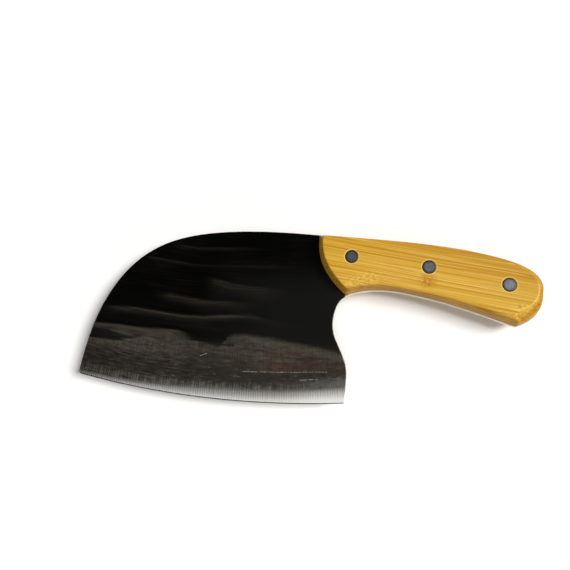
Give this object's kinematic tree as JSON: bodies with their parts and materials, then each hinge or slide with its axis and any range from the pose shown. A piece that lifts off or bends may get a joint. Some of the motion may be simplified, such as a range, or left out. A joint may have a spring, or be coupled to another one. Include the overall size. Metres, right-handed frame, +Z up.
{
  "type": "kitchen cleaver knife",
  "caption": "Broad kitchen cleaver knife with a curved spine, gently bellied edge, open choil and a riveted full-tang wooden handle.",
  "frame": {"origin": "on the lower scale's outer face, on the line through the outer rivets and midway between the front and middle rivets", "axes": "+X along the handle to the butt, +Y from the cutting edge to the spine, +Z up out of the upper scale"},
  "size_m": [0.2452, 0.1113, 0.019],
  "materials": {
    "blade_steel": "dark forged skin above, brushed grind and bright bevel at the edge",
    "handle_wood": "varnished yellow wood with fine lengthwise grain",
    "rivet_steel": "grey steel ground flush with the wood"
  },
  "bodies": {
    "root": {"blade": "blade_steel", "upper_scale": "handle_wood", "lower_scale": "handle_wood", "front_rivet_pin": "rivet_steel", "middle_rivet_pin": "rivet_steel", "rear_rivet_pin": "rivet_steel", "front_rivet_tube": "rivet_steel", "middle_rivet_tube": "rivet_steel", "rear_rivet_tube": "rivet_steel"}
  },
  "joints": []
}
